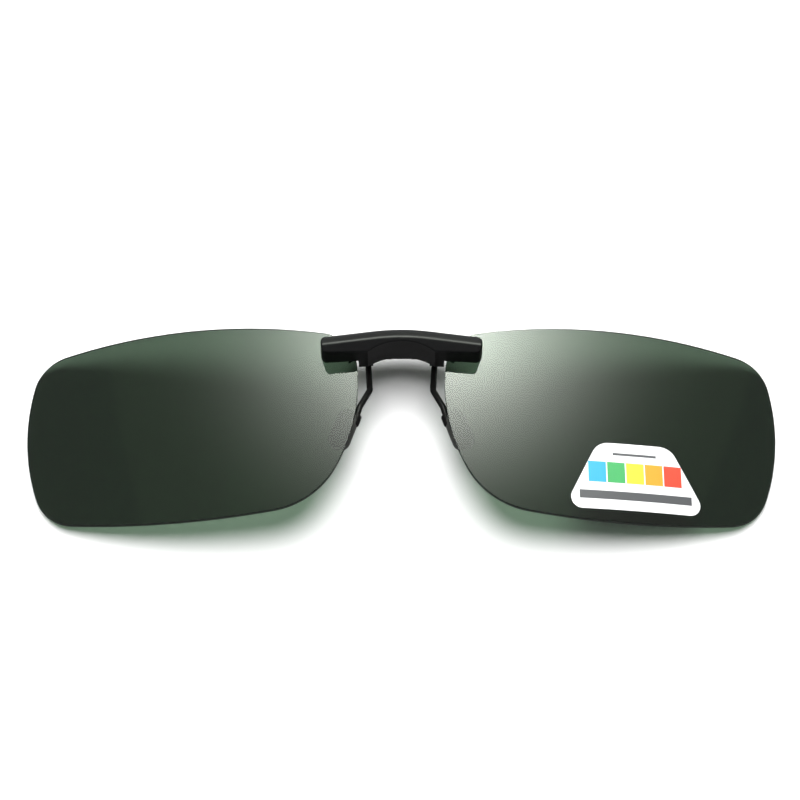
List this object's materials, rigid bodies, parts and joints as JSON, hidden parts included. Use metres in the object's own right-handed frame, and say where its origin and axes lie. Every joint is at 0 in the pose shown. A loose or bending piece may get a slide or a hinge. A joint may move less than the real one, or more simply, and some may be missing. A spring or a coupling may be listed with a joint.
{
  "type": "clip-on sunglasses",
  "caption": "Rimless clip-on sun lenses on an arched black bridge with a sprung press lever whose wire arms press silicone pads to the back of spectacle lenses.",
  "frame": {"origin": "middle of the bounding box's underside, which is the plane that the lens tips rest on when the clip lies face up", "axes": "+X along the pair of lenses to the right seen from the front, +Y to the tops of the lenses, +Z out of the lens fronts"},
  "size_m": [0.1318, 0.0364, 0.0183],
  "materials": {
    "green_lens": "dark grey-green polarised lens, polished, light coming through once about 15 percent",
    "black_nylon": "satin black injection-moulded nylon",
    "black_wire": "black-coated spring wire, satin",
    "plated_steel": "nickel-plated steel, bright",
    "spring_steel": "drawn spring steel",
    "clear_nylon": "natural translucent nylon",
    "silicone": "smoke-grey soft silicone, cloudy, with a fine matt skin",
    "printed_label": "white vinyl label with a printed colour band"
  },
  "bodies": {
    "bridge": {"bridge_cover": "black_nylon", "bridge_back": "black_nylon", "left_lens": "green_lens", "right_lens": "green_lens", "left_lens_gasket": "clear_nylon", "right_lens_gasket": "clear_nylon", "lens_screws": "plated_steel", "lens_bushes": "clear_nylon", "lens_washers": "clear_nylon", "pivot_pin": "plated_steel", "torsion_spring": "spring_steel", "lens_sticker": "printed_label"},
    "clamp": {"press_lever": "black_nylon", "left_wire_arm": "black_wire", "right_wire_arm": "black_wire", "left_pad_collar": "black_wire", "right_pad_collar": "black_wire", "left_pad_core": "black_nylon", "right_pad_core": "black_nylon", "left_silicone_pad": "silicone", "right_silicone_pad": "silicone"}
  },
  "joints": [
    {"name": "clamp_hinge", "type": "hinge", "parent": "bridge", "child": "clamp", "pos_m": [0, 0.01425, 0.008], "axis": [1, 0, 0], "range_deg": [0, 25], "stiffness_Nm_per_rad": 0.02, "springref_deg": -34.38, "deforming": ["torsion_spring"]}
  ]
}
